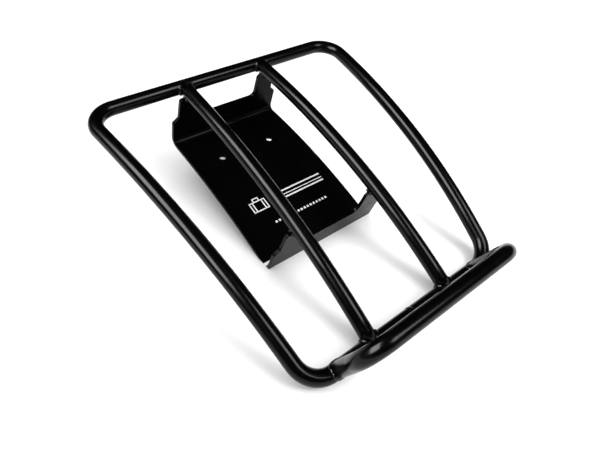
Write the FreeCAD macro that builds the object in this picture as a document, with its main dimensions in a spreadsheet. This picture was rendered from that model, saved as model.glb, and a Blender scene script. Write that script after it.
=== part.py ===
import FreeCAD, Part
import math
import os

os.makedirs("parts", exist_ok=True)
doc = FreeCAD.newDocument("LuggageRack")
Vector = FreeCAD.Vector

# ---------------------------------------------------------------- driving dimensions (mm, degrees)
sheet = doc.addObject("Spreadsheet::Sheet", "Dimensions")
rows = [
    ("tubeDiameter", "12.7", "outside diameter of every tube"),
    ("tubeWall", "1.6", "wall of every tube"),
    ("wideSpan", "267", "side to side at the wide end, tube centre to tube centre"),
    ("stopSpan", "200", "side to side at the stop end, tube centre to tube centre"),
    ("wideReach", "140.4", "middle of the frame to the wide end bar"),
    ("stopReach", "139.8", "middle of the frame to the stop end bar"),
    ("wideDrop", "14", "how far the wide end bar lies below the middle of the arch"),
    ("stopDrop", "17.5", "how far the stop end bar lies below the middle of the arch"),
    ("wideSlope", "10.3", "slope of the frame at the wide corners"),
    ("stopSlope", "13.7", "slope of the frame at the stop corners"),
    ("wideCornerRadius", "21.5", "centreline radius of the wide corners"),
    ("stopCornerRadius", "22.5", "centreline radius of the stop corners"),
    ("innerBarSpacing", "84", "distance between the two inner bars"),
    ("hoopInset", "24", "each leg of the stop hoop, in from the side of the frame at the stop end"),
    ("hoopRise", "56", "height of the stop hoop above the end bar, centre to centre"),
    ("hoopRadius", "19", "centreline bend radius of the stop hoop"),
    ("hoopLean", "6.8", "outward lean of the stop hoop"),
    ("sheetThickness", "3", "mounting plate sheet"),
    ("plateOverhang", "17", "edge of the mounting plate outside the centre of each inner bar"),
    ("plateDrop", "58.6", "tube centre to the upper face of the plate, at the crown"),
    ("plateWideGap", "9.9", "wide end bar centre to the outer face of the upturned end beside it"),
    ("plateStopFace", "40.6", "outer face of the upturned end at the stop side"),
    ("foldRadius", "5", "inside radius of the folds"),
    ("endWallHeight", "31.5", "height of the upturned ends between the ears"),
    ("shoulderHeight", "30", "height of the step on the outer side of each ear"),
    ("shoulderRise", "5", "how far the step climbs towards its ear"),
    ("earOutside", "11.3", "outer edge of an ear above its step, from the inner bar it carries"),
    ("earInside", "9", "inner edge of an ear, from the inner bar it carries"),
    ("earSeat", "1.6", "how far an ear reaches up round the underside of its bar"),
    ("holeDiameter", "6.5", "fixing holes"),
    ("holeSpacing", "56", "distance between the fixing holes"),
    ("holeStation", "85.5", "fixing holes from the crown, along the frame"),
    ("beadSize", "3", "leg of the fillet welds"),
    ("rootGap", "1.2", "gap closed by the butt weld"),
]
for index, (alias, text, note) in enumerate(rows, start=1):
    sheet.set("A%d" % index, alias)
    sheet.set("B%d" % index, text)
    sheet.set("C%d" % index, note)
    sheet.setAlias("B%d" % index, alias)
doc.recompute()


def dim(alias):
    return float(getattr(sheet, alias))


# ---------------------------------------------------------------- derived layout, rack directions
# X runs across the rack, Y towards the wide end, Z up; the middle of the arch is at the origin.
tubeRadius = dim("tubeDiameter") / 2
wideArch = (dim("wideReach") ** 2 + dim("wideDrop") ** 2) / (2 * dim("wideDrop"))
stopArch = (dim("stopReach") ** 2 + dim("stopDrop") ** 2) / (2 * dim("stopDrop"))
plateArch = wideArch - dim("plateDrop")
holeAngle = math.asin(dim("holeStation") / plateArch)
plateHalf = dim("innerBarSpacing") / 2 + dim("plateOverhang")
earOuter = dim("innerBarSpacing") / 2 + dim("earOutside")
earInner = dim("innerBarSpacing") / 2 - dim("earInside")
hoopHalf = dim("stopSpan") / 2 - dim("hoopInset")
archX = Vector(1, 0, 0)


def pointAt(x, y, z):
    return Vector(x, y, z)


def barHeight(y):
    """Height of the inner bar centreline at a station along the rack."""
    radius = wideArch if y > 0 else stopArch
    return math.sqrt(radius ** 2 - y ** 2) - radius


wideBar = pointAt(0, dim("wideReach"), -dim("wideDrop"))
stopBar = pointAt(0, -dim("stopReach"), -dim("stopDrop"))

# The row frame: origin between the fixing holes on the underside, +Z along the fixing bolts.
undersideArch = plateArch - dim("sheetThickness")
rowOrigin = pointAt(0, undersideArch * math.sin(holeAngle),
                    undersideArch * math.cos(holeAngle) - plateArch - dim("plateDrop"))
turn = FreeCAD.Rotation(archX, math.degrees(holeAngle))
rowPlacement = FreeCAD.Placement(turn.multVec(rowOrigin * -1), turn)


# ---------------------------------------------------------------- helpers
def wireObject(name, edges):
    item = doc.addObject("Part::Feature", name)
    item.Shape = Part.Wire(edges)
    return item


def circleObject(name, start, direction, expression):
    item = doc.addObject("Part::Circle", name)
    item.setExpression("Radius", expression)
    item.Placement = FreeCAD.Placement(start, FreeCAD.Rotation(Vector(0, 0, 1), direction))
    return item


def sweepObject(name, path, start, direction, expression):
    section = circleObject(name + "Section", start, direction, expression)
    item = doc.addObject("Part::Sweep", name)
    item.Sections = [section]
    item.Spine = (path, ["Edge%d" % (n + 1) for n in range(len(path.Shape.Edges))])
    item.Solid = True
    item.Frenet = False
    return item


def cylinderObject(name, start, direction, radiusExpression, length):
    item = doc.addObject("Part::Cylinder", name)
    item.setExpression("Radius", radiusExpression)
    item.Height = length
    item.Placement = FreeCAD.Placement(start, FreeCAD.Rotation(Vector(0, 0, 1), direction))
    return item


def cutObject(name, base, tools):
    current = base
    for count, tool in enumerate(tools, start=1):
        last = count == len(tools)
        item = doc.addObject("Part::Cut", name if last else "%sStep%d" % (name, count))
        item.Base = current
        item.Tool = tool
        current = item
    return current


def commonObject(name, parts):
    item = doc.addObject("Part::MultiCommon", name)
    item.Shapes = parts
    return item


def cornerArc(vertex, towardsA, towardsB, radius):
    """Arc tangent to two legs that leave a corner; gives its start, middle and end points."""
    cosine = max(-1.0, min(1.0, towardsA.dot(towardsB)))
    angle = math.acos(cosine)
    setback = radius / math.tan(angle / 2)
    middle = (towardsA + towardsB).normalize()
    centre = vertex + middle * (radius / math.sin(angle / 2))
    return (vertex + towardsA * setback, centre - middle * radius, vertex + towardsB * setback)


def roundedOutline(corners):
    """Closed face in the XZ plane from (x, z, radius) corners."""
    points = [pointAt(x, 0, z) for x, z, radius in corners]
    pieces = []
    total = len(points)
    for n in range(total):
        here = points[n]
        back = (points[n - 1] - here).normalize()
        ahead = (points[(n + 1) % total] - here).normalize()
        if corners[n][2] > 0:
            pieces.append(cornerArc(here, back, ahead, corners[n][2]))
        else:
            pieces.append((here, None, here))
    edges = []
    for n in range(total):
        first, middle, last = pieces[n]
        if middle is not None:
            edges.append(Part.Arc(first, middle, last).toShape())
        nextStart = pieces[(n + 1) % total][0]
        if last.distanceToPoint(nextStart) > 1e-6:
            edges.append(Part.makeLine(last, nextStart))
    return Part.Face(Part.Wire(edges))


# ---------------------------------------------------------------- paths
slant = (dim("wideSpan") - dim("stopSpan")) / 2 / (dim("wideReach") + dim("stopReach"))
wideTilt = math.radians(dim("wideSlope"))
stopTilt = math.radians(dim("stopSlope"))
wideOut = Vector(0, math.cos(wideTilt), -math.sin(wideTilt))
stopOut = Vector(0, -math.cos(stopTilt), -math.sin(stopTilt))


def tangentArcs(start, startWay, end, endWay):
    """Two arcs that leave start along startWay, meet smoothly, and reach end along endWay."""
    span = end - start
    both = startWay + endWay
    spread = 2 * (1 - startWay.dot(endWay))
    reach = (math.sqrt(span.dot(both) ** 2 + spread * span.dot(span)) - span.dot(both)) / spread
    firstKnee = start + startWay * reach
    lastKnee = end - endWay * reach
    across = (lastKnee - firstKnee).normalize()
    arcs = []
    for knee, back, ahead in ((firstKnee, startWay * -1, across), (lastKnee, across * -1, endWay)):
        interior = math.acos(max(-1.0, min(1.0, back.dot(ahead))))
        points = cornerArc(knee, back, ahead, reach * math.tan(interior / 2))
        arcs.append(Part.Arc(points[0], points[1], points[2]).toShape())
    return arcs


def loopEdges():
    """Open loop path, starting and ending either side of the butt weld in the stop end bar."""
    halfGap = dim("rootGap") / 2
    stopCorner = {}
    wideCorner = {}
    sideArcs = {}
    for side in (1, -1):
        wideVertex = wideBar + archX * (side * dim("wideSpan") / 2)
        stopVertex = stopBar + archX * (side * dim("stopSpan") / 2)
        toWide = (archX * (side * slant * math.cos(stopTilt)) - stopOut).normalize()
        toStop = (archX * (-side * slant * math.cos(wideTilt)) - wideOut).normalize()
        inward = archX * -side
        stopCorner[side] = cornerArc(stopVertex, inward, toWide, dim("stopCornerRadius"))
        wideCorner[side] = cornerArc(wideVertex, toStop, inward, dim("wideCornerRadius"))
        if side == 1:
            sideArcs[side] = tangentArcs(stopCorner[side][2], toWide, wideCorner[side][0], toStop * -1)
        else:
            sideArcs[side] = tangentArcs(wideCorner[side][0], toStop, stopCorner[side][2], toWide * -1)

    def bend(points, backwards=False):
        ordered = points[::-1] if backwards else points
        return Part.Arc(ordered[0], ordered[1], ordered[2]).toShape()

    return [
        Part.makeLine(stopBar + archX * halfGap, stopCorner[1][0]),
        bend(stopCorner[1]),
        *sideArcs[1],
        bend(wideCorner[1]),
        Part.makeLine(wideCorner[1][2], wideCorner[-1][2]),
        bend(wideCorner[-1], backwards=True),
        *sideArcs[-1],
        bend(stopCorner[-1], backwards=True),
        Part.makeLine(stopCorner[-1][0], stopBar - archX * halfGap),
    ]


def innerEdges(x):
    """Two tangent arcs from the stop end bar over the crown to the wide end bar."""
    def onArch(y):
        return pointAt(x, y, barHeight(y))
    return [
        Part.Arc(onArch(-dim("stopReach")), onArch(-dim("stopReach") / 2), onArch(0)).toShape(),
        Part.Arc(onArch(0), onArch(dim("wideReach") / 2), onArch(dim("wideReach"))).toShape(),
    ]


hoopUp = Vector(0, -math.sin(math.radians(dim("hoopLean"))), math.cos(math.radians(dim("hoopLean"))))


def hoopEdges():
    rightFoot = stopBar + archX * (hoopHalf)
    leftFoot = stopBar - archX * (hoopHalf)
    rightTop = rightFoot + hoopUp * dim("hoopRise")
    leftTop = leftFoot + hoopUp * dim("hoopRise")
    rightArc = cornerArc(rightTop, hoopUp * -1, archX * -1, dim("hoopRadius"))
    leftArc = cornerArc(leftTop, archX, hoopUp * -1, dim("hoopRadius"))
    return [
        Part.makeLine(rightFoot, rightArc[0]),
        Part.Arc(rightArc[0], rightArc[1], rightArc[2]).toShape(),
        Part.makeLine(rightArc[2], leftArc[0]),
        Part.Arc(leftArc[0], leftArc[1], leftArc[2]).toShape(),
        Part.makeLine(leftArc[2], leftFoot),
    ]


outer = "Dimensions.tubeDiameter / 2"
inner = "Dimensions.tubeDiameter / 2 - Dimensions.tubeWall"
swollen = "Dimensions.tubeDiameter / 2 + Dimensions.beadSize"
nodes = {}

# ---------------------------------------------------------------- outer loop
loopPath = wireObject("LoopPath", loopEdges())
loopStart = stopBar + archX * (dim("rootGap") / 2)
loopRod = sweepObject("LoopRod", loopPath, loopStart, archX, outer)
loopBore = sweepObject("LoopBore", loopPath, loopStart, archX, inner)
nodes["outer_loop_tube"] = cutObject("OuterLoop", loopRod, [loopBore])

# ---------------------------------------------------------------- inner bars, coped on both end bars
wideRod = cylinderObject("WideRod", wideBar - archX * dim("wideSpan") / 2.6, archX, outer,
                         dim("wideSpan") / 1.3)
stopRod = cylinderObject("StopRod", stopBar - archX * dim("stopSpan") / 2.6, archX, outer,
                         dim("stopSpan") / 1.3)
innerRods = {}
for side, word in ((-1, "Left"), (1, "Right")):
    x = side * dim("innerBarSpacing") / 2
    path = wireObject("InnerPath" + word, innerEdges(x))
    start = pointAt(x, -dim("stopReach"), barHeight(-dim("stopReach")))
    endSlope = math.asin(dim("stopReach") / stopArch)
    direction = Vector(0, math.cos(endSlope), math.sin(endSlope))
    innerRods[side] = sweepObject("InnerRod" + word, path, start, direction, outer)
    bore = sweepObject("InnerBore" + word, path, start, direction, inner)
    nodes["inner_bar_" + word.lower()] = cutObject("InnerBar" + word, innerRods[side],
                                                   [bore, wideRod, stopRod])

# ---------------------------------------------------------------- stop hoop, coped on the stop end bar
hoopPath = wireObject("HoopPath", hoopEdges())
rightFoot = stopBar + archX * (hoopHalf)
hoopRod = sweepObject("HoopRod", hoopPath, rightFoot, hoopUp, outer)
hoopBore = sweepObject("HoopBore", hoopPath, rightFoot, hoopUp, inner)
nodes["stop_hoop"] = cutObject("StopHoop", hoopRod, [hoopBore, loopRod])

# ---------------------------------------------------------------- mounting plate
thick = dim("sheetThickness")
wideFace = dim("wideReach") - dim("plateWideGap")
stopFace = dim("plateStopFace")
plateCentre = pointAt(0, 0, -plateArch - dim("plateDrop"))


def plateHeight(y, radius):
    return plateCentre.z + math.sqrt(radius ** 2 - y ** 2)


earTopWide = barHeight(wideFace) - tubeRadius + dim("earSeat")
earTopStop = barHeight(-stopFace) - tubeRadius + dim("earSeat")


def plateProfile():
    """Side view of the sheet: arched floor with both ends folded straight up."""
    bendInner = dim("foldRadius")
    bendOuter = bendInner + thick

    def fold(face, direction, wallOffset, radius, surface):
        # centre of the fold, placed so that its arc is tangent to the wall and to the floor
        y = face - direction * (wallOffset + radius)
        z = plateCentre.z + math.sqrt((surface + radius) ** 2 - y ** 2)
        toFloor = (pointAt(0, y, z) - plateCentre).normalize()
        onFloor = pointAt(0, y, z) - toFloor * radius
        onWall = pointAt(0, y + direction * radius, z)
        middle = (toFloor * -1 + Vector(0, direction, 0)).normalize()
        return onFloor, pointAt(0, y, z) + middle * radius, onWall

    wideInner = fold(wideFace, 1, thick, bendInner, plateArch)
    stopInner = fold(-stopFace, -1, thick, bendInner, plateArch)
    wideOuter = fold(wideFace, 1, 0, bendOuter, undersideArch)
    stopOuter = fold(-stopFace, -1, 0, bendOuter, undersideArch)
    top = earTopStop + 20
    edges = [
        Part.Arc(stopInner[0], pointAt(0, 10, plateHeight(10, plateArch)), wideInner[0]).toShape(),
        Part.Arc(wideInner[0], wideInner[1], wideInner[2]).toShape(),
        Part.makeLine(wideInner[2], pointAt(0, wideFace - thick, top)),
        Part.makeLine(pointAt(0, wideFace - thick, top), pointAt(0, wideFace, top)),
        Part.makeLine(pointAt(0, wideFace, top), wideOuter[2]),
        Part.Arc(wideOuter[2], wideOuter[1], wideOuter[0]).toShape(),
        Part.Arc(wideOuter[0], pointAt(0, 10, plateHeight(10, undersideArch)), stopOuter[0]).toShape(),
        Part.Arc(stopOuter[0], stopOuter[1], stopOuter[2]).toShape(),
        Part.makeLine(stopOuter[2], pointAt(0, -stopFace, top)),
        Part.makeLine(pointAt(0, -stopFace, top), pointAt(0, thick - stopFace, top)),
        Part.makeLine(pointAt(0, thick - stopFace, top), stopInner[2]),
        Part.Arc(stopInner[2], stopInner[1], stopInner[0]).toShape(),
    ]
    return Part.Face(Part.Wire(edges))


def endView(bottom, earTop):
    """End view of an upturned end: a low wall between two ears with a step on their outer side."""
    wall = bottom + dim("endWallHeight")
    shoulder = bottom + dim("shoulderHeight")
    step = shoulder + dim("shoulderRise")
    under = plateCentre.z
    return roundedOutline([
        (-plateHalf, under, 0), (plateHalf, under, 0),
        (plateHalf, shoulder, 2.5), (earOuter, step, 2.5), (earOuter - 1.3, earTop, 2.5),
        (earInner + 0.6, earTop, 3.5), (earInner, wall, 6),
        (-earInner, wall, 6), (-earInner - 0.6, earTop, 3.5),
        (-earOuter + 1.3, earTop, 2.5), (-earOuter, step, 2.5), (-plateHalf, shoulder, 2.5),
    ])


def extrusion(name, face, direction, length, placement):
    source = doc.addObject("Part::Feature", name + "Face")
    source.Shape = face
    source.Placement = placement
    item = doc.addObject("Part::Extrusion", name)
    item.Base = source
    item.DirMode = "Custom"
    item.Dir = direction
    item.LengthFwd = length
    item.Solid = True
    return item


sheetBend = extrusion("SheetBend", plateProfile(), archX, 2 * plateHalf,
                      FreeCAD.Placement(pointAt(-plateHalf, 0, 0), FreeCAD.Rotation()))
sheetBend.setExpression("LengthFwd", "Dimensions.innerBarSpacing + 2 * Dimensions.plateOverhang")
bottomWide = plateHeight(wideFace, undersideArch)
bottomStop = plateHeight(stopFace, undersideArch)
split = (wideFace - stopFace) / 2
viewWide = extrusion("EndViewWide", endView(bottomWide, earTopWide), Vector(0, 1, 0), wideFace + 20 - split,
                     FreeCAD.Placement(pointAt(0, split, 0), FreeCAD.Rotation()))
viewStop = extrusion("EndViewStop", endView(bottomStop, earTopStop), Vector(0, -1, 0), split + stopFace + 20,
                     FreeCAD.Placement(pointAt(0, split, 0), FreeCAD.Rotation()))
views = doc.addObject("Part::MultiFuse", "EndViews")
views.Shapes = [viewWide, viewStop]
blank = commonObject("PlateBlank", [sheetBend, views])
holeAxis = Vector(0, math.sin(holeAngle), math.cos(holeAngle))
holes = []
for side, word in ((-1, "Left"), (1, "Right")):
    centre = rowOrigin + archX * (side * dim("holeSpacing") / 2) - holeAxis * 10
    holes.append(cylinderObject("Hole" + word, centre, holeAxis, "Dimensions.holeDiameter / 2", 20 + thick))
nodes["mounting_plate"] = cutObject("MountingPlate", blank, holes + [innerRods[-1], innerRods[1]])

# ---------------------------------------------------------------- welds
# Butt weld: a ring on the tube that also fills the gap between the two ends of the loop.
ring = doc.addObject("Part::Torus", "ButtRing")
ring.setExpression("Radius1", "Dimensions.tubeDiameter / 2 - 0.8")
ring.Radius2 = 1.7
ring.Placement = FreeCAD.Placement(stopBar, FreeCAD.Rotation(Vector(0, 0, 1), archX))
ringBore = cylinderObject("ButtBore", stopBar - archX * 10, archX, inner, 20)
nodes["loop_butt_weld"] = cutObject("LoopButtWeld", ring, [ringBore, loopRod])

# Fillet welds: the space close to both tubes, less the tubes themselves.
wideSwollen = cylinderObject("WideSwollen", wideBar - archX * dim("wideSpan") / 3, archX, swollen,
                             dim("wideSpan") / 1.5)
stopSwollen = cylinderObject("StopSwollen", stopBar - archX * dim("stopSpan") / 2, archX, swollen,
                             dim("stopSpan"))
reachOut = dim("tubeDiameter") + 6
for side, word in ((-1, "Left"), (1, "Right")):
    low = word.lower()
    across = archX * (side * dim("innerBarSpacing") / 2)
    wideEnd = math.asin(dim("wideReach") / wideArch)
    stopEnd = math.asin(dim("stopReach") / stopArch)
    fromWide = Vector(0, -math.cos(wideEnd), math.sin(wideEnd))
    fromStop = Vector(0, math.cos(stopEnd), math.sin(stopEnd))
    sleeve = cylinderObject("SleeveWide" + word, wideBar + across, fromWide, swollen, reachOut)
    barBead = commonObject("NearWide" + word, [sleeve, wideSwollen])
    nodes["weld_bar_%s_wide" % low] = cutObject("WeldBarWide" + word, barBead, [wideRod, innerRods[side]])
    sleeve = cylinderObject("SleeveStop" + word, stopBar + across, fromStop, swollen, reachOut)
    both = commonObject("NearStop" + word, [sleeve, stopSwollen])
    nodes["weld_bar_%s_stop" % low] = cutObject("WeldBarStop" + word, both, [stopRod, innerRods[side]])
    foot = stopBar + archX * (side * hoopHalf)
    sleeve = cylinderObject("SleeveHoop" + word, foot, hoopUp, swollen, reachOut)
    both = commonObject("NearHoop" + word, [sleeve, stopSwollen])
    nodes["weld_hoop_%s" % low] = cutObject("WeldHoop" + word, both, [loopRod, hoopRod])
    for y, place in ((wideFace - thick / 2, "Wide"), (-stopFace + thick / 2, "Stop")):
        slope = math.asin(abs(y) / (wideArch if y > 0 else stopArch)) * (-1 if y > 0 else 1)
        along = Vector(0, math.cos(slope), math.sin(slope))
        centre = pointAt(0, y, barHeight(y)) + across
        sleeve = cylinderObject("SleeveEar" + place + word, centre - along * 12, along, swollen, 24)
        block = doc.addObject("Part::Box", "EarZone" + place + word)
        wide = earOuter - earInner - 3.2
        middleX = side * (earOuter + earInner - 0.7) / 2
        block.Length = wide
        block.setExpression("Width", "Dimensions.sheetThickness + 2 * Dimensions.beadSize")
        block.Height = tubeRadius + 1.4
        block.Placement.Base = pointAt(middleX - wide / 2, y - thick / 2 - dim("beadSize"),
                                       barHeight(y) - tubeRadius - 3.2)
        both = commonObject("NearEar" + place + word, [sleeve, block])
        tools = [innerRods[side], blank] + ([barBead] if place == "Wide" else [])
        nodes["weld_ear_%s_%s" % (low, place.lower())] = cutObject("WeldEar" + place + word, both, tools)

doc.recompute()

# ---------------------------------------------------------------- place, check and write
for name, item in nodes.items():
    item.Label = name
    item.Placement = rowPlacement
doc.recompute()

for name, item in nodes.items():
    bad = [word for word in item.State if word in ("Invalid", "Error")]
    if bad:
        raise RuntimeError("%s is %s" % (name, bad))
    shape = item.Shape
    if shape.isNull() or not shape.isValid():
        raise RuntimeError("%s has no valid shape" % name)
    if len(shape.Solids) != 1:
        print("NOTE", name, "solids", len(shape.Solids))
    box = shape.BoundBox
    print("%-24s solids %d volume %9.1f box %s" % (name, len(shape.Solids), shape.Volume, [
        round(v, 1) for v in (box.XMin, box.XMax, box.YMin, box.YMax, box.ZMin, box.ZMax)]))
    shape.exportStep("parts/%s.step" % name)
print("nodes", len(nodes))
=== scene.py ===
import math

import bmesh
import bpy
from mathutils import Euler, Matrix, Vector


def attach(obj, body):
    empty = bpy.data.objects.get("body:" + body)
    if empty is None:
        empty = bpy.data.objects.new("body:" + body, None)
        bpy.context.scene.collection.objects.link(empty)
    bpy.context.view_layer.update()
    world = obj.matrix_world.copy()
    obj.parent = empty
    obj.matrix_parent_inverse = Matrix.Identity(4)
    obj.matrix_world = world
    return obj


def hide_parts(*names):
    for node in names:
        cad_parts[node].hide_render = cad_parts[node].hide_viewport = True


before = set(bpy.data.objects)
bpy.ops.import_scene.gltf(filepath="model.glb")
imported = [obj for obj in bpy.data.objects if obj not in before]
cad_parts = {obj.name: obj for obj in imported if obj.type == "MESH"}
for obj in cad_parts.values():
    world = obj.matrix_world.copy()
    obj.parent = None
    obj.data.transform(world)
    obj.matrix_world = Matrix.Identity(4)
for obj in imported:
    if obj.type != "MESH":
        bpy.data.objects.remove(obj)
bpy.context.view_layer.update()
print("frame loaded:", len(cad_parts), "nodes")

# Sizes shared by several pieces, in metres and degrees, as the rack was designed.
rack = {
    "tubeRadius": 0.00635,
    "wideSpan": 0.267,       # side to side, tube centre to tube centre
    "stopSpan": 0.200,
    "wideReach": 0.1404,     # middle of the frame to each end bar
    "stopReach": 0.1398,
    "wideDrop": 0.014,       # end bars below the middle of the arch
    "stopDrop": 0.0175,
    "wideSlope": 10.3,
    "stopSlope": 13.7,
    "barSpacing": 0.084,
    "sheet": 0.003,
    "plateDrop": 0.0586,     # tube centre down to the plate's upper face
    "holeStation": 0.0855,   # fixing holes from the crown, along the frame
}
wideArch = (rack["wideReach"] ** 2 + rack["wideDrop"] ** 2) / (2 * rack["wideDrop"])
stopArch = (rack["stopReach"] ** 2 + rack["stopDrop"] ** 2) / (2 * rack["stopDrop"])
plateArch = wideArch - rack["plateDrop"]
underArch = plateArch - rack["sheet"]
archCentreZ = -wideArch
wideBar = Vector((0, rack["wideReach"], -rack["wideDrop"]))
stopBar = Vector((0, -rack["stopReach"], -rack["stopDrop"]))
across = Vector((1, 0, 0))
stopEnd = math.asin(rack["stopReach"] / stopArch)    # half angles of the two arcs of the arch
wideEnd = math.asin(rack["wideReach"] / wideArch)

# Everything is drawn in the rack's own directions and then laid over the CAD frame, whose
# origin is between the fixing holes with Z along the bolts.
holeAngle = math.asin(rack["holeStation"] / plateArch)
holeMiddle = Vector((0, underArch * math.sin(holeAngle), archCentreZ + underArch * math.cos(holeAngle)))
toFrame = Matrix.Rotation(holeAngle, 4, "X") @ Matrix.Translation(-holeMiddle)


# camera
cameraSettings = {
    "place": (-0.20824, -0.28149, 0.33879),
    "turn": (39.499, -8.14, -37.096),
    "lens": 28.353,
    "shift": (0.00495, -0.0325),
}


def addCamera(s):
    data = bpy.data.cameras.new("camera")
    data.lens = s["lens"]
    data.shift_x, data.shift_y = s["shift"]
    data.clip_start = 0.01
    camera = bpy.data.objects.new("camera", data)
    camera.location = s["place"]
    camera.rotation_euler = Euler([math.radians(a) for a in s["turn"]])
    bpy.context.scene.collection.objects.link(camera)
    bpy.context.scene.camera = camera


addCamera(cameraSettings)
print("camera ready")


# shader groups
def newGroup(name, inputs, outputs):
    tree = bpy.data.node_groups.new(name, "ShaderNodeTree")
    for label, kind, value in inputs:
        socket = tree.interface.new_socket(label, in_out="INPUT", socket_type=kind)
        if value is not None:
            socket.default_value = value
    for label, kind in outputs:
        tree.interface.new_socket(label, in_out="OUTPUT", socket_type=kind)
    return tree, tree.nodes.new("NodeGroupInput"), tree.nodes.new("NodeGroupOutput")


# adds a node; links gives each named input a socket to join or a value
def addNode(tree, kind, links=None, **settings):
    node = tree.nodes.new(kind)
    for label, value in settings.items():
        setattr(node, label, value)
    for label, source in (links or {}).items():
        socket = node.inputs[label]
        if isinstance(source, bpy.types.NodeSocket):
            tree.links.new(source, socket)
        else:
            socket.default_value = source
    return node


def orangePeelGroup():
    tree, given, result = newGroup(
        "orangePeel",
        [("Cell size", "NodeSocketFloat", 0.0016), ("Softness", "NodeSocketFloat", 0.5)],
        [("Height", "NodeSocketFloat"), ("Gloss drift", "NodeSocketFloat")],
    )
    place = addNode(tree, "ShaderNodeTexCoord").outputs["Object"]
    density = addNode(tree, "ShaderNodeMath", {0: 1.0, 1: given.outputs["Cell size"]}, operation="DIVIDE")
    bumps = addNode(tree, "ShaderNodeTexNoise",
                    {"Vector": place, "Scale": density.outputs[0], "Detail": 1.5, "Roughness": 0.45})
    broad = addNode(tree, "ShaderNodeTexNoise", {"Vector": place, "Scale": 55.0, "Detail": 3.0})
    drift = addNode(tree, "ShaderNodeMapRange",
                    {"Value": broad.outputs[0], "From Min": 0.35, "From Max": 0.68})
    swell = addNode(tree, "ShaderNodeMath",
                    {0: broad.outputs[0], 1: given.outputs["Softness"], 2: bumps.outputs[0]},
                    operation="MULTIPLY_ADD")
    tree.links.new(swell.outputs[0], result.inputs["Height"])
    tree.links.new(drift.outputs[0], result.inputs["Gloss drift"])
    return tree


def dustGroup():
    tree, given, result = newGroup(
        "dustSpecks",
        [("Spread", "NodeSocketFloat", 900.0), ("Amount", "NodeSocketFloat", 0.3)],
        [("Mask", "NodeSocketFloat")],
    )
    place = addNode(tree, "ShaderNodeTexCoord").outputs["Object"]
    cells = addNode(tree, "ShaderNodeTexVoronoi", {"Vector": place, "Scale": given.outputs["Spread"]})
    specks = addNode(tree, "ShaderNodeMapRange",
                     {"Value": cells.outputs["Distance"], "From Min": 0.16, "From Max": 0.05})
    patches = addNode(tree, "ShaderNodeTexNoise", {"Vector": place, "Scale": 38.0, "Detail": 4.0})
    held = addNode(tree, "ShaderNodeMapRange",
                   {"Value": patches.outputs[0], "From Min": 0.5, "From Max": 0.75})
    both = addNode(tree, "ShaderNodeMath", {0: specks.outputs[0], 1: held.outputs[0]}, operation="MULTIPLY")
    scaled = addNode(tree, "ShaderNodeMath", {0: both.outputs[0], 1: given.outputs["Amount"]},
                     operation="MULTIPLY")
    tree.links.new(scaled.outputs[0], result.inputs["Mask"])
    return tree


def handlingGroup():
    tree, given, result = newGroup(
        "handlingMarks",
        [("Scale", "NodeSocketFloat", 26.0), ("Strength", "NodeSocketFloat", 0.4)],
        [("Mask", "NodeSocketFloat")],
    )
    place = addNode(tree, "ShaderNodeTexCoord").outputs["Object"]
    stretched = addNode(tree, "ShaderNodeMapping", {"Vector": place, "Scale": (1.6, 0.5, 1.2)})
    smears = addNode(tree, "ShaderNodeTexNoise",
                     {"Vector": stretched.outputs[0], "Scale": given.outputs["Scale"], "Detail": 6.0,
                      "Roughness": 0.62, "Distortion": 0.6})
    shaped = addNode(tree, "ShaderNodeMapRange",
                     {"Value": smears.outputs[0], "From Min": 0.48, "From Max": 0.78})
    scaled = addNode(tree, "ShaderNodeMath", {0: shaped.outputs[0], 1: given.outputs["Strength"]},
                     operation="MULTIPLY")
    tree.links.new(scaled.outputs[0], result.inputs["Mask"])
    return tree


orangePeel = orangePeelGroup()
dustSpecks = dustGroup()
handlingMarks = handlingGroup()


# coatings; "shine" is the specular level, "smears" and "drift" roughen the gloss
dustColour = (0.05, 0.048, 0.044, 1.0)
roughening = {"smear": 0.22, "dust": 0.3, "reliefDepth": 0.0002}
coats = {
    "tubeCoat": {"black": (0.0009, 0.0009, 0.001), "gloss": 0.17, "drift": 0.05, "cell": 0.0017,
                 "bump": 0.05, "dust": 0.28, "smears": 0.35, "shine": 0.16},
    "plateCoat": {"black": (0.0009, 0.0009, 0.001), "gloss": 0.20, "drift": 0.06, "cell": 0.0019,
                  "bump": 0.05, "dust": 0.3, "smears": 0.45, "shine": 0.05},
    "weldCoat": {"black": (0.001, 0.001, 0.0011), "gloss": 0.13, "drift": 0.05, "cell": 0.0009,
                 "bump": 0.12, "dust": 0.2, "smears": 0.2, "shine": 0.21},
}


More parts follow.
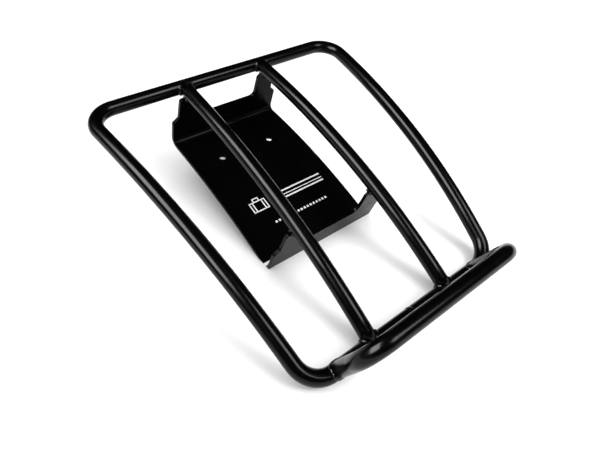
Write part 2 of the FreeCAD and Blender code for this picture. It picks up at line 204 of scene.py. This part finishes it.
def coatMaterial(name, s):
    material = bpy.data.materials.new(name)
    material.use_nodes = True
    tree = material.node_tree
    shader = tree.nodes["Principled BSDF"]
    peel = addNode(tree, "ShaderNodeGroup", node_tree=orangePeel)
    peel.inputs["Cell size"].default_value = s["cell"]
    dust = addNode(tree, "ShaderNodeGroup", node_tree=dustSpecks)
    dust.inputs["Amount"].default_value = s["dust"]
    marks = addNode(tree, "ShaderNodeGroup", node_tree=handlingMarks)
    marks.inputs["Strength"].default_value = s["smears"]
    paint = addNode(tree, "ShaderNodeMix",
                    {0: dust.outputs["Mask"], 6: (*s["black"], 1.0), 7: dustColour},
                    data_type="RGBA")
    tree.links.new(paint.outputs[2], shader.inputs["Base Color"])
    softened = addNode(tree, "ShaderNodeMath",
                       {0: marks.outputs["Mask"], 1: roughening["smear"], 2: s["gloss"]},
                       operation="MULTIPLY_ADD")
    dusty = addNode(tree, "ShaderNodeMath",
                    {0: dust.outputs["Mask"], 1: roughening["dust"], 2: softened.outputs[0]},
                    operation="MULTIPLY_ADD")
    uneven = addNode(tree, "ShaderNodeMath",
                     {0: peel.outputs["Gloss drift"], 1: s["drift"], 2: dusty.outputs[0]},
                     operation="MULTIPLY_ADD")
    tree.links.new(uneven.outputs[0], shader.inputs["Roughness"])
    relief = addNode(tree, "ShaderNodeBump",
                     {"Height": peel.outputs["Height"], "Strength": s["bump"],
                      "Distance": roughening["reliefDepth"]})
    tree.links.new(relief.outputs[0], shader.inputs["Normal"])
    shader.inputs["Specular IOR Level"].default_value = s["shine"]
    return material


tubeCoat = coatMaterial("tubeCoat", coats["tubeCoat"])
plateCoat = coatMaterial("plateCoat", coats["plateCoat"])
weldCoat = coatMaterial("weldCoat", coats["weldCoat"])


inkSettings = {"ink": (0.72, 0.72, 0.71), "worn": (0.25, 0.25, 0.25), "gloss": 0.4, "wear": 0.3,
               "speckSpread": 1500.0, "specks": 0.9, "shine": 0.3}


def printMaterial(name, s):
    material = bpy.data.materials.new(name)
    material.use_nodes = True
    tree = material.node_tree
    shader = tree.nodes["Principled BSDF"]
    dust = addNode(tree, "ShaderNodeGroup", node_tree=dustSpecks)
    dust.inputs["Spread"].default_value = s["speckSpread"]
    dust.inputs["Amount"].default_value = s["specks"]
    paint = addNode(tree, "ShaderNodeMix",
                    {0: dust.outputs["Mask"], 6: (*s["ink"], 1.0), 7: (*s["worn"], 1.0)},
                    data_type="RGBA")
    tree.links.new(paint.outputs[2], shader.inputs["Base Color"])
    marks = addNode(tree, "ShaderNodeGroup", node_tree=handlingMarks)
    worn = addNode(tree, "ShaderNodeMath", {0: marks.outputs["Mask"], 1: s["wear"], 2: s["gloss"]},
                   operation="MULTIPLY_ADD")
    tree.links.new(worn.outputs[0], shader.inputs["Roughness"])
    shader.inputs["Specular IOR Level"].default_value = s["shine"]
    return material


printInk = printMaterial("printInk", inkSettings)
print("materials ready")


# lays the piece over the CAD frame and makes it stand for those CAD nodes
def finishPiece(name, bm, material, nodes):
    bmesh.ops.remove_doubles(bm, verts=bm.verts, dist=1e-6)
    bmesh.ops.recalc_face_normals(bm, faces=bm.faces)
    bmesh.ops.transform(bm, matrix=toFrame, verts=bm.verts)
    mesh = bpy.data.meshes.new(name)
    for face in bm.faces:
        face.smooth = True
    bm.to_mesh(mesh)
    bm.free()
    mesh.materials.append(material)
    piece = bpy.data.objects.new(name, mesh)
    bpy.context.scene.collection.objects.link(piece)
    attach(piece, "root")
    if nodes:
        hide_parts(*nodes)
    return piece


# stands a shape drawn round Z at a place, with its Z along way
def facingMatrix(place, way, side=None):
    turn = way.to_track_quat("Z", "Y").to_matrix().to_4x4()
    if side is not None:
        z = way.normalized()
        y = z.cross(side).normalized()
        x = y.cross(z)
        turn = Matrix((x, y, z)).transposed().to_4x4()
    return Matrix.Translation(place) @ turn


facetAllowance = 0.00002    # keeps a rounder tube inside the frame's faceted one
tubeSides = 48
bendStep = math.radians(5)
arcStep = 0.012    # longest facet along a wide arc


# grows a tube from a circle: ("straight", length) or ("turn", new direction, bend radius)
def drawTube(bm, start, way, runs, capStart=True, capEnd=True):
    made = bmesh.ops.create_circle(bm, cap_ends=False, radius=rack["tubeRadius"] - facetAllowance,
                                   segments=tubeSides, matrix=facingMatrix(start, way))
    ringVerts = made["verts"]
    ring = list({edge for vert in ringVerts for edge in vert.link_edges})
    if capStart:
        bmesh.ops.contextual_create(bm, geom=ring)
    here, facing = start.copy(), way.normalized()
    for run in runs:
        if run[0] == "straight":
            grown = bmesh.ops.extrude_edge_only(bm, edges=ring)["geom"]
            ringVerts = [item for item in grown if isinstance(item, bmesh.types.BMVert)]
            fresh = set(ringVerts)
            bmesh.ops.translate(bm, verts=ringVerts, vec=facing * run[1])
            ring = [item for item in grown if isinstance(item, bmesh.types.BMEdge)
                    and fresh.issuperset(item.verts)]
            here = here + facing * run[1]
            continue
        newWay, bend = run[1].normalized(), run[2]
        axis = facing.cross(newWay).normalized()
        angle = facing.angle(newWay)
        centre = here + axis.cross(facing) * bend
        steps = max(6, math.ceil(angle / bendStep), math.ceil(angle * bend / arcStep))
        grown = bmesh.ops.spin(bm, geom=ringVerts + ring, cent=centre, axis=axis, angle=angle, steps=steps)
        ringVerts = [item for item in grown["geom_last"] if isinstance(item, bmesh.types.BMVert)]
        ring = [item for item in grown["geom_last"] if isinstance(item, bmesh.types.BMEdge)]
        here = centre + Matrix.Rotation(angle, 3, axis) @ (here - centre)
        facing = newWay
    if capEnd:
        bmesh.ops.contextual_create(bm, geom=ring)


# adds the other half of a shape that starts on the middle plane
def mirrorHalf(bm):
    everything = bm.verts[:] + bm.edges[:] + bm.faces[:]
    bmesh.ops.mirror(bm, geom=everything, matrix=Matrix.Identity(4), merge_dist=2e-5, axis="X")


# outer loop
loopSettings = {"wideCorner": 0.0215, "stopCorner": 0.0225}


# distance from a sharp corner back to where its bend begins
def cornerSetback(wayIn, wayOut, bend):
    return bend * math.tan(wayIn.angle(wayOut) / 2)


def outerLoop(s):
    taper = (rack["wideSpan"] - rack["stopSpan"]) / 2 / (rack["wideReach"] + rack["stopReach"])
    wideTilt, stopTilt = math.radians(rack["wideSlope"]), math.radians(rack["stopSlope"])
    wideOut = Vector((0, math.cos(wideTilt), -math.sin(wideTilt)))
    stopOut = Vector((0, -math.cos(stopTilt), -math.sin(stopTilt)))
    leaveStop = (across * taper * math.cos(stopTilt) - stopOut).normalized()
    enterWide = (across * taper * math.cos(wideTilt) + wideOut).normalized()
    stopBack = cornerSetback(across, leaveStop, s["stopCorner"])
    wideBack = cornerSetback(enterWide, -across, s["wideCorner"])
    sideStart = stopBar + across * rack["stopSpan"] / 2 + leaveStop * stopBack
    sideEnd = wideBar + across * rack["wideSpan"] / 2 - enterWide * wideBack
    # Two arcs that meet smoothly carry the side from one corner to the other.
    span, both = sideEnd - sideStart, leaveStop + enterWide
    spread = 2 * (1 - leaveStop.dot(enterWide))
    reach = (math.sqrt(span.dot(both) ** 2 + spread * span.dot(span)) - span.dot(both)) / spread
    middleWay = (sideEnd - enterWide * reach - sideStart - leaveStop * reach).normalized()
    bm = bmesh.new()
    drawTube(bm, stopBar, across, [
        ("straight", rack["stopSpan"] / 2 - stopBack),
        ("turn", leaveStop, s["stopCorner"]),
        ("turn", middleWay, reach / math.tan(leaveStop.angle(middleWay) / 2)),
        ("turn", enterWide, reach / math.tan(middleWay.angle(enterWide) / 2)),
        ("turn", -across, s["wideCorner"]),
        ("straight", rack["wideSpan"] / 2 - wideBack),
    ], capStart=False, capEnd=False)
    mirrorHalf(bm)
    finishPiece("outerLoop", bm, tubeCoat, ["outer_loop_tube"])


outerLoop(loopSettings)
print("outer loop ready")


# inner bars
def innerBar(side):
    start = stopBar + across * side * rack["barSpacing"] / 2
    rising = Vector((0, math.cos(stopEnd), math.sin(stopEnd)))
    level = Vector((0, 1, 0))
    falling = Vector((0, math.cos(wideEnd), -math.sin(wideEnd)))
    bm = bmesh.new()
    drawTube(bm, start, rising, [("turn", level, stopArch), ("turn", falling, wideArch)])
    word = "Left" if side < 0 else "Right"
    finishPiece("innerBar" + word, bm, tubeCoat, ["inner_bar_" + word.lower()])


for side in (-1, 1):
    innerBar(side)
print("inner bars ready")


# stop hoop
hoopSettings = {"inset": 0.024, "rise": 0.056, "bend": 0.019, "lean": 6.8}
lean = math.radians(hoopSettings["lean"])
hoopUp = Vector((0, -math.sin(lean), math.cos(lean)))
hoopFoot = stopBar + across * (rack["stopSpan"] / 2 - hoopSettings["inset"])


def stopHoop(s):
    bm = bmesh.new()
    back = cornerSetback(hoopUp, -across, s["bend"])
    drawTube(bm, hoopFoot, hoopUp, [
        ("straight", s["rise"] - back),
        ("turn", -across, s["bend"]),
        ("straight", hoopFoot.x - back),
    ], capEnd=False)
    mirrorHalf(bm)
    finishPiece("stopHoop", bm, tubeCoat, ["stop_hoop"])


stopHoop(hoopSettings)
print("stop hoop ready")


# mounting plate
plateSettings = {"edge": 0.00035, "segments": 3, "foldAngle": 35, "flatWithin": 0.6}


def mountingPlate(s):
    bm = bmesh.new()
    bm.from_mesh(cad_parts["mounting_plate"].data)
    bmesh.ops.remove_doubles(bm, verts=bm.verts, dist=1e-6)
    bmesh.ops.dissolve_limit(bm, angle_limit=math.radians(s["flatWithin"]), verts=bm.verts,
                             edges=bm.edges)
    cutEdges = [edge for edge in bm.edges
                if len(edge.link_faces) == 2 and edge.calc_face_angle() > math.radians(s["foldAngle"])]
    bmesh.ops.bevel(bm, geom=cutEdges, offset=s["edge"], segments=s["segments"], profile=0.5,
                    affect="EDGES", material=-1, clamp_overlap=True)
    bmesh.ops.transform(bm, matrix=toFrame.inverted(), verts=bm.verts)
    piece = finishPiece("mountingPlate", bm, plateCoat, ["mounting_plate"])
    shading = piece.modifiers.new("flatFaces", "WEIGHTED_NORMAL")
    shading.keep_sharp = True
    shading.weight = 100


mountingPlate(plateSettings)
print("mounting plate ready")


# printed mark: a plain suitcase and rules
markSettings = {
    "thickness": 0.00008,
    "station": 0.0185,           # middle of the mark along the rack
    "caseWidth": 0.017, "caseHeight": 0.0115, "line": 0.0011, "caseFrom": -0.038,
    "strapInset": 0.0031, "handleHeight": 0.0025,
    "ruleFrom": -0.016, "ruleTo": 0.045,
    "rules": ((0.0035, 0.0016), (-0.0005, 0.0009), (-0.0042, 0.0016)),    # lower edge and width
    "dashes": 17, "dashFrom": -0.026, "dashTo": 0.036, "dashStation": -0.0035, "dashHalf": 0.0011,
    "dashShare": 0.6,
}


# a thin rectangle drawn flat, ready to be laid on the sheet
def flatBar(bm, x0, x1, y0, y1, cuts=1):
    place = Matrix.Translation(((x0 + x1) / 2, (y0 + y1) / 2, 0))
    size = Matrix.Diagonal((x1 - x0, y1 - y0, 1, 1))
    bmesh.ops.create_grid(bm, x_segments=1, y_segments=cuts, size=0.5, matrix=place @ size)


def printedMark(s):
    bm = bmesh.new()
    line = s["line"]
    left, right = s["caseFrom"], s["caseFrom"] + s["caseWidth"]
    low, high = s["station"] - s["caseHeight"] / 2, s["station"] + s["caseHeight"] / 2
    flatBar(bm, left, right, low, low + line)
    flatBar(bm, left, right, high - line, high)
    for x in (left, left + s["strapInset"], right - line - s["strapInset"], right - line):
        flatBar(bm, x, x + line, low + line, high - line, cuts=4)
    middle = (left + right) / 2
    handle = s["caseWidth"] / 5
    grip = high + s["handleHeight"]
    for x in (middle - handle, middle + handle - line):
        flatBar(bm, x, x + line, high, grip)
    flatBar(bm, middle - handle, middle + handle, grip, grip + line)
    for edge, width in s["rules"]:
        y = s["station"] + edge
        flatBar(bm, s["ruleFrom"], s["ruleTo"], y, y + width)
    step = (s["dashTo"] - s["dashFrom"]) / s["dashes"]
    for count in range(s["dashes"]):
        x = s["dashFrom"] + step * count
        flatBar(bm, x, x + step * s["dashShare"], s["dashStation"] - s["dashHalf"],
                s["dashStation"] + s["dashHalf"])
    grown = bmesh.ops.extrude_face_region(bm, geom=bm.faces[:])["geom"]
    raised = [item for item in grown if isinstance(item, bmesh.types.BMVert)]
    bmesh.ops.translate(bm, verts=raised, vec=(0, 0, s["thickness"]))
    for vert in bm.verts:
        vert.co.z += archCentreZ + math.sqrt(plateArch ** 2 - vert.co.y ** 2)
    finishPiece("printedMark", bm, printInk, [])


printedMark(markSettings)
print("printed mark ready")


# welds
weldSettings = {"bead": 0.0023, "around": 132, "ripples": 22, "rippleDepth": 0.1, "saddleSoftness": 0.2,
                "crownShare": 0.3, "sink": 0.0006}
buttSettings = {"bead": 0.0028, "sink": 0.0024, "spread": 1.15}
beadSides = 12


# size of the bead at an angle round the joint: each pool of metal laps the last one
def rippled(angle, ripples, depth):
    phase = angle / math.tau * ripples % 1.0
    pool = math.sin(math.pi * phase ** 0.6) - 0.6
    drift = 0.4 * math.sin(angle * 3.7)
    return 1 + depth * pool + depth * drift


# the round section of a bead, standing beside the Z axis
def beadSection(bm, reach, bead):
    return bmesh.ops.create_circle(bm, cap_ends=False, radius=bead, segments=beadSides,
                                   matrix=Matrix.Translation((reach, 0, 0))
                                   @ Matrix.Rotation(math.pi / 2, 4, "X"))


# a plain ring round the Z axis
def beadRing(bm, reach, bead, around):
    beadSection(bm, reach, bead)
    bmesh.ops.spin(bm, geom=bm.verts[:] + bm.edges[:], cent=(0, 0, 0), axis=(0, 0, 1),
                   angle=math.tau, steps=around, use_merge=True)
    bmesh.ops.remove_doubles(bm, verts=bm.verts, dist=1e-6)


# a bead round a tube that stands on another tube of the same size
def saddleWeld(name, node, place, barWay, hostWay, s):
    bm = bmesh.new()
    radius = rack["tubeRadius"]
    stand = facingMatrix(Vector((0, 0, 0)), barWay, hostWay)
    beadRing(bm, radius, s["bead"], s["around"])
    for vert in bm.verts:
        angle = math.atan2(vert.co.y, vert.co.x)
        outward = Vector((math.cos(angle), math.sin(angle), 0))
        offset = vert.co - outward * radius
        flat = 1 - (1 - s["crownShare"]) * math.sin(angle) ** 4
        saddle = radius * math.sqrt(math.cos(angle) ** 2 + s["saddleSoftness"] ** 2)
        vert.co = outward * radius + offset * rippled(angle, s["ripples"], s["rippleDepth"]) * flat
        vert.co.z += saddle - s["sink"]
    bmesh.ops.transform(bm, matrix=Matrix.Translation(place) @ stand, verts=bm.verts)
    finishPiece(name, bm, weldCoat, [node])


# a low ring that closes the loop in the middle of its stop end bar
def buttWeld(s, seam):
    bm = bmesh.new()
    beadRing(bm, rack["tubeRadius"] - seam["sink"], seam["bead"], s["around"])
    for vert in bm.verts:
        angle = math.atan2(vert.co.y, vert.co.x)
        vert.co.z *= seam["spread"] * rippled(angle, s["ripples"], s["rippleDepth"])
    bmesh.ops.transform(bm, matrix=facingMatrix(stopBar, across), verts=bm.verts)
    finishPiece("buttWeld", bm, weldCoat, ["loop_butt_weld"])


earWeldSettings = {"bead": 0.0019, "sweep": 112, "steps": 60, "ripples": 34, "rippleDepth": 0.16,
                   "clearBar": 0.0002, "clearSheet": 0.0004, "leastEnd": 0.04}
plateEnds = {"wideGap": 0.0099, "stopFace": 0.0406}


# two beads under a bar, one on each face of the ear that carries it
def earWeld(name, node, centre, along, s):
    bm = bmesh.new()
    radius = rack["tubeRadius"] + s["clearBar"]
    half = math.radians(s["sweep"]) / 2
    turned = facingMatrix(centre, along, Vector((0, 0, -1)))
    for face in (-1, 1):
        bead = bmesh.new()
        made = beadSection(bead, radius, s["bead"])
        bmesh.ops.contextual_create(bead, geom=bead.edges[:])
        grown = bmesh.ops.spin(bead, geom=made["verts"] + bead.edges[:], cent=(0, 0, 0), axis=(0, 0, 1),
                               angle=2 * half, steps=s["steps"])
        last = [item for item in grown["geom_last"] if isinstance(item, bmesh.types.BMEdge)]
        bmesh.ops.contextual_create(bead, geom=last)
        for vert in bead.verts:
            angle = math.atan2(vert.co.y, vert.co.x)
            outward = Vector((math.cos(angle), math.sin(angle), 0))
            offset = vert.co - outward * radius
            fromMiddle = abs(abs(angle) - half) / half
            end = math.sqrt(max(s["leastEnd"], 1 - fromMiddle ** 6))
            vert.co = outward * radius + offset * end * rippled(angle, s["ripples"], s["rippleDepth"])
            vert.co.z += face * (rack["sheet"] / 2 + s["clearSheet"])
        spunBack = min(vert.co.y for vert in bead.verts) < -1e-4
        centreTurn = Matrix.Rotation(half if spunBack else -half, 4, "Z")
        bmesh.ops.transform(bead, matrix=turned @ centreTurn, verts=bead.verts)
        part = bpy.data.meshes.new("beadPart")
        bead.to_mesh(part)
        bead.free()
        bm.from_mesh(part)
        bpy.data.meshes.remove(part)
    finishPiece(name, bm, weldCoat, [node])


# height of an inner bar's centre line, from the middle of the arch
def barHeight(y):
    radius = wideArch if y > 0 else stopArch
    return math.sqrt(radius ** 2 - y ** 2) - radius


for side, word in ((-1, "Left"), (1, "Right")):
    low = word.lower()
    offset = across * side * rack["barSpacing"] / 2
    saddleWeld("weldBar%sWide" % word, "weld_bar_%s_wide" % low, wideBar + offset,
               Vector((0, -math.cos(wideEnd), math.sin(wideEnd))), across, weldSettings)
    saddleWeld("weldBar%sStop" % word, "weld_bar_%s_stop" % low, stopBar + offset,
               Vector((0, math.cos(stopEnd), math.sin(stopEnd))), across, weldSettings)
    foot = Vector((side * hoopFoot.x, hoopFoot.y, hoopFoot.z))
    saddleWeld("weldHoop" + word, "weld_hoop_" + low, foot, hoopUp, across, weldSettings)
    for y, place in ((rack["wideReach"] - plateEnds["wideGap"] - rack["sheet"] / 2, "Wide"),
                     (-plateEnds["stopFace"] + rack["sheet"] / 2, "Stop")):
        slope = math.asin(y / (wideArch if y > 0 else stopArch))    # of the bar over that ear
        along = Vector((0, math.cos(slope), -math.sin(slope)))
        earWeld("weldEar%s%s" % (word, place), "weld_ear_%s_%s" % (low, place.lower()),
                Vector((0, y, barHeight(y))) + offset, along, earWeldSettings)
buttWeld(weldSettings, buttSettings)
print("welds ready")


# floor, lights and surroundings
floorSettings = {"radius": 4.0, "foldOutside": 0.008, "white": 0.9, "roughness": 0.7, "shine": 0.1,
                 "glowFrom": 0.3, "glowFull": 1.2}


# The floor touches the stop bar and rises under the plate's fold, which sinks about 3 mm into it:
# a plane that touches both rounds would have this asin taken away, not added.
def floorUnderRack(s):
    foldY = -(plateEnds["stopFace"] - s["foldOutside"])
    foldZ = archCentreZ + math.sqrt((underArch + s["foldOutside"]) ** 2 - foldY ** 2)
    rise = Vector((foldY - stopBar.y, foldZ - stopBar.z))
    slope = math.atan2(rise.y, rise.x) + math.asin((s["foldOutside"] - rack["tubeRadius"]) / rise.length)
    up = Vector((0, -math.sin(slope), math.cos(slope)))
    return stopBar - up * rack["tubeRadius"], up


floorPoint, floorUp = floorUnderRack(floorSettings)


def addFloor(s):
    material = bpy.data.materials.new("studioFloor")
    material.use_nodes = True
    tree = material.node_tree
    shader = tree.nodes["Principled BSDF"]
    shader.inputs["Base Color"].default_value = (s["white"], s["white"], s["white"], 1)
    shader.inputs["Roughness"].default_value = s["roughness"]
    shader.inputs["Specular IOR Level"].default_value = s["shine"]
    place = addNode(tree, "ShaderNodeTexCoord").outputs["Object"]
    distance = addNode(tree, "ShaderNodeVectorMath", {0: place}, operation="LENGTH")
    beyond = addNode(tree, "ShaderNodeMapRange",
                     {"Value": distance.outputs["Value"], "From Min": s["glowFrom"],
                      "From Max": s["glowFull"]},
                     interpolation_type="SMOOTHSTEP")
    tree.links.new(beyond.outputs[0], shader.inputs["Emission Strength"])
    shader.inputs["Emission Color"].default_value = (1, 1, 1, 1)
    below = addNode(tree, "ShaderNodeNewGeometry").outputs["Backfacing"]
    clear = addNode(tree, "ShaderNodeBsdfTransparent")
    seen = addNode(tree, "ShaderNodeMixShader", {0: below, 1: shader.outputs[0], 2: clear.outputs[0]})
    tree.links.new(seen.outputs[0], tree.nodes["Material Output"].inputs["Surface"])
    bm = bmesh.new()
    stand = facingMatrix(floorPoint, floorUp)
    bmesh.ops.create_circle(bm, cap_ends=True, radius=s["radius"], segments=96, matrix=toFrame @ stand)
    mesh = bpy.data.meshes.new("floor")
    bm.to_mesh(mesh)
    bm.free()
    mesh.materials.append(material)
    floor = bpy.data.objects.new("floor", mesh)
    bpy.context.scene.collection.objects.link(floor)


addFloor(floorSettings)

# Directions point from the rack to each light, in the frame's own axes.
lights = {
    "leftBox": {"towards": (-0.65, 0.28, 0.70), "away": 1.2, "size": (1.05, 0.66), "watts": 39,
                "glossy": True, "diffuse": False},
    "rightBox": {"towards": (0.29, -0.41, 0.87), "away": 1.6, "size": (0.67, 0.67), "watts": 15,
                 "glossy": True, "diffuse": True},
    "overheadFill": {"towards": (0.1, 0.1, 0.97), "away": 1.6, "size": (1.8, 1.8), "watts": 11,
                     "glossy": False, "diffuse": True},
}
lightAim = Vector((0, -0.1, 0.03))


def addLight(name, s):
    data = bpy.data.lights.new(name, "AREA")
    data.shape = "RECTANGLE"
    data.size, data.size_y = s["size"]
    data.energy = s["watts"]
    light = bpy.data.objects.new(name, data)
    way = Vector(s["towards"]).normalized()
    light.location = lightAim + way * s["away"]
    light.rotation_euler = way.to_track_quat("Z", "Y").to_euler()
    light.visible_glossy = s["glossy"]
    light.visible_diffuse = s["diffuse"]
    bpy.context.scene.collection.objects.link(light)


for name, settings in lights.items():
    addLight(name, settings)


roomSettings = {"behind": 1.2, "fill": 0.95, "reflected": 0.0}


# white behind the rack, an even fill on what is matt, and a dark room in the gloss
def addSurroundings(s):
    world = bpy.data.worlds.new("studio")
    bpy.context.scene.world = world
    world.use_nodes = True
    tree = world.node_tree
    background = tree.nodes["Background"]
    background.inputs["Color"].default_value = (1, 1, 1, 1)
    path = addNode(tree, "ShaderNodeLightPath")
    unseen = addNode(tree, "ShaderNodeMix",
                     {0: path.outputs["Is Diffuse Ray"], 2: s["reflected"], 3: s["fill"]},
                     data_type="FLOAT")
    level = addNode(tree, "ShaderNodeMix",
                    {0: path.outputs["Is Camera Ray"], 2: unseen.outputs[0], 3: s["behind"]},
                    data_type="FLOAT")
    tree.links.new(level.outputs[0], background.inputs["Strength"])


addSurroundings(roomSettings)
bpy.context.scene.view_settings.view_transform = "Standard"
print("stage ready")
